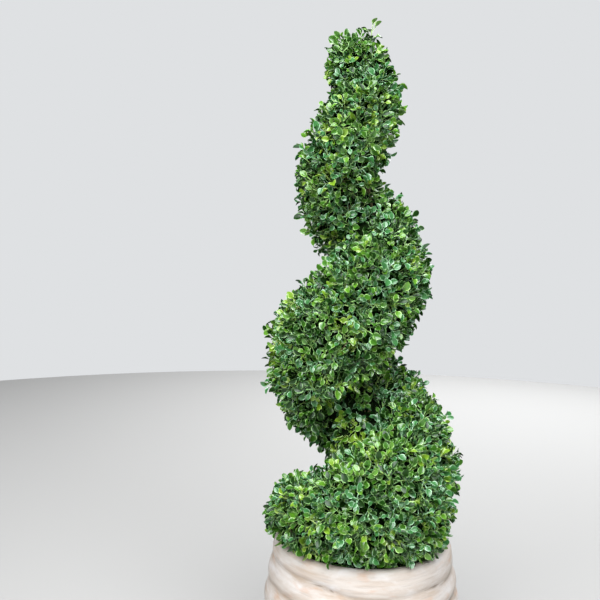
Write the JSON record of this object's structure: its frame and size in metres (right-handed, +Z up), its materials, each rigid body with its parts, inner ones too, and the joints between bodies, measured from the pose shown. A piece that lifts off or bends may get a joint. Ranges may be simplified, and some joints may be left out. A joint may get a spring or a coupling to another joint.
{
  "type": "spiral topiary in a pot",
  "caption": "Clipped box plant whose foliage winds up one upright stem in a rising spiral, standing in a hand-thrown ridged clay pot.",
  "frame": {"origin": "centre of the pot's flat underside, on the ground", "axes": "+Z up the stem, +X to the viewer's right in the reference view, +Y away from the viewer"},
  "size_m": [0.2888, 0.2989, 0.9732],
  "materials": {
    "clay": "hand-thrown earthenware under a worn lime wash, matt",
    "earth": "dark crumbly potting compost",
    "bark": "grey-brown fissured bark",
    "leaves": "glossy mid-green leaves with paler margins on green twigs"
  },
  "bodies": {
    "root": {"pot": "clay", "soil": "earth", "trunk": "bark", "foliage_turn1_left": "leaves", "foliage_turn1_right": "leaves", "foliage_turn1_back": "leaves", "foliage_turn2_left": "leaves", "foliage_turn2_right": "leaves", "foliage_turn2_back": "leaves", "foliage_turn3_left": "leaves", "foliage_turn3_right": "leaves", "foliage_tip": "leaves"}
  },
  "joints": []
}
